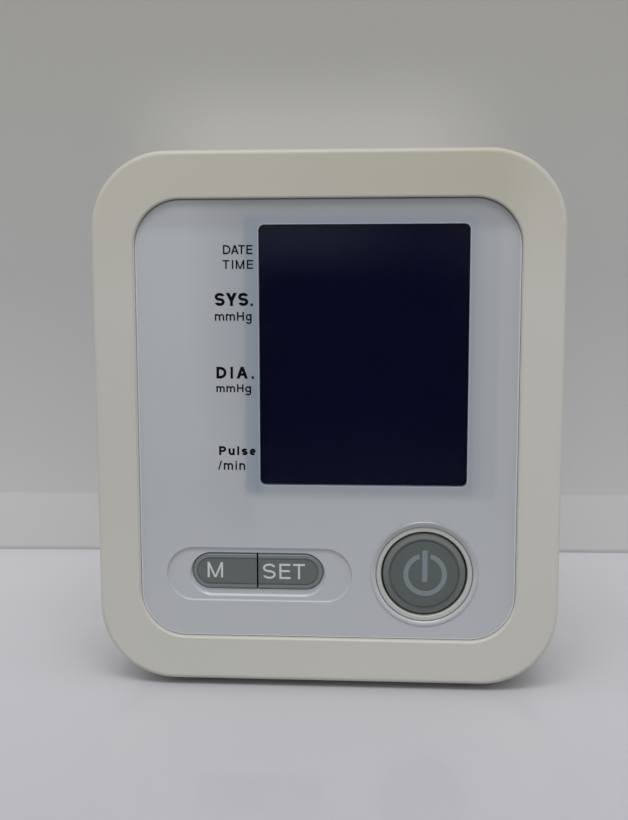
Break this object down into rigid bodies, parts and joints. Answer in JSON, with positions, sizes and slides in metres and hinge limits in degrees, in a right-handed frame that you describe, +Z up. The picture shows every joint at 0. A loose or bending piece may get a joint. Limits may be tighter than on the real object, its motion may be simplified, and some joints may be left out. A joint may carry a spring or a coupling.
{
  "type": "blood pressure monitor control unit",
  "caption": "Upright desk-top control unit of an upper-arm blood pressure monitor: ivory casing, grey faceplate with a display window, round power button and a split pair of small buttons.",
  "frame": {"origin": "middle of the bounding box's lower face, on the table that the unit stands on", "axes": "+X to the right of someone who faces the display, +Y from the display side to the back, +Z up"},
  "size_m": [0.1084, 0.0524, 0.126],
  "materials": {
    "shell_plastic": "fine satin ivory plastic",
    "faceplate_plastic": "smooth grey plastic with a clear window",
    "button_plastic": "satin dark grey plastic",
    "tape": "black foam tape",
    "foot_rubber": "matt grey rubber",
    "dome_silicone": "soft milky silicone",
    "screw_steel": "zinc-plated steel",
    "lcd_glass": "dark display glass",
    "lcd_reflector": "grey film",
    "white_plastic": "white moulded plastic",
    "connector_rubber": "striped connector rubber",
    "board_laminate": "green solder mask",
    "black_plastic": "black moulded plastic",
    "cell_jacket": "printed cell jacket",
    "contact_nickel": "nickel plate",
    "lead_red_black": "vinyl insulation",
    "motor_steel": "plated steel",
    "magnet": "dark ferrite",
    "rotor_steel": "steel stack and shaft",
    "spring_steel": "spring wire",
    "copper": "enamelled copper winding",
    "diaphragm_rubber": "black rubber",
    "sleeve_foam": "grey foam",
    "hose_silicone": "milky silicone hose"
  },
  "bodies": {
    "casing": {"front_shell": "shell_plastic", "rear_shell": "shell_plastic", "rear_feet": "foot_rubber", "case_screws": "screw_steel", "faceplate": "faceplate_plastic", "faceplate_tape": "tape", "power_dome": "dome_silicone", "memory_dome": "dome_silicone", "set_dome": "dome_silicone", "lcd_glass": "lcd_glass", "lcd_reflector": "lcd_reflector", "lcd_holder": "white_plastic", "lcd_connectors": "connector_rubber", "main_board": "board_laminate", "board_screws": "screw_steel", "board_chips": "black_plastic", "board_headers": "white_plastic", "buzzer": "black_plastic", "pressure_sensor": "black_plastic", "battery_cells": "cell_jacket", "battery_springs": "contact_nickel", "battery_contacts": "contact_nickel", "battery_leads": "lead_red_black", "motor_can": "motor_steel", "motor_magnets": "magnet", "motor_end_cap": "black_plastic", "motor_terminals": "contact_nickel", "motor_leads": "lead_red_black", "pump_housing": "white_plastic", "pump_wobble_plate": "black_plastic", "pump_diaphragm": "diaphragm_rubber", "pump_valve_plate": "white_plastic", "pump_head": "white_plastic", "pump_sleeve": "sleeve_foam", "pump_strap": "motor_steel", "strap_screws": "screw_steel", "air_manifold": "white_plastic", "pump_hose": "hose_silicone", "valve_hose": "hose_silicone", "sensor_hose": "hose_silicone", "socket_hose": "hose_silicone", "air_socket": "black_plastic", "air_socket_seal": "diaphragm_rubber", "valve_seat": "white_plastic", "valve_frame": "motor_steel", "valve_coil": "copper", "valve_spring": "spring_steel", "valve_leads": "lead_red_black", "dc_jack": "black_plastic", "dc_jack_pin": "contact_nickel", "jack_leads": "lead_red_black"},
    "power_button": {"power_button": "button_plastic"},
    "memory_button": {"memory_button": "button_plastic"},
    "set_button": {"set_button": "button_plastic"},
    "battery_cover": {"battery_cover": "shell_plastic"},
    "pump_rotor": {"motor_rotor": "rotor_steel", "pump_crank": "black_plastic"},
    "valve_plunger": {"valve_plunger": "rotor_steel"}
  },
  "joints": [
    {"name": "power_button_press", "type": "slide", "parent": "casing", "child": "power_button", "axis": [0, 1, 0], "range_m": [0, 0.0009], "stiffness_N_per_m": 1700, "springref_m": -0.0005, "deforming": ["power_dome"]},
    {"name": "memory_button_press", "type": "slide", "parent": "casing", "child": "memory_button", "axis": [0, 1, 0], "range_m": [0, 0.0009], "stiffness_N_per_m": 1700, "springref_m": -0.0005, "deforming": ["memory_dome"]},
    {"name": "set_button_press", "type": "slide", "parent": "casing", "child": "set_button", "axis": [0, 1, 0], "range_m": [0, 0.0009], "stiffness_N_per_m": 1700, "springref_m": -0.0005, "deforming": ["set_dome"]},
    {"name": "battery_cover_hinge", "type": "hinge", "parent": "casing", "child": "battery_cover", "pos_m": [0, 0.01757, 0.01182], "axis": [-1, 0, 0], "range_deg": [0, 80]},
    {"name": "pump_rotor_spin", "type": "hinge", "parent": "casing", "child": "pump_rotor", "pos_m": [0.03, 0.00375, 0.09313], "axis": [1, 0, 0], "continuous": true},
    {"name": "valve_plunger_slide", "type": "slide", "parent": "casing", "child": "valve_plunger", "axis": [1, 0, 0], "range_m": [0, 0.0008], "stiffness_N_per_m": 300, "springref_m": -0.0005, "deforming": ["valve_spring"]}
  ]
}
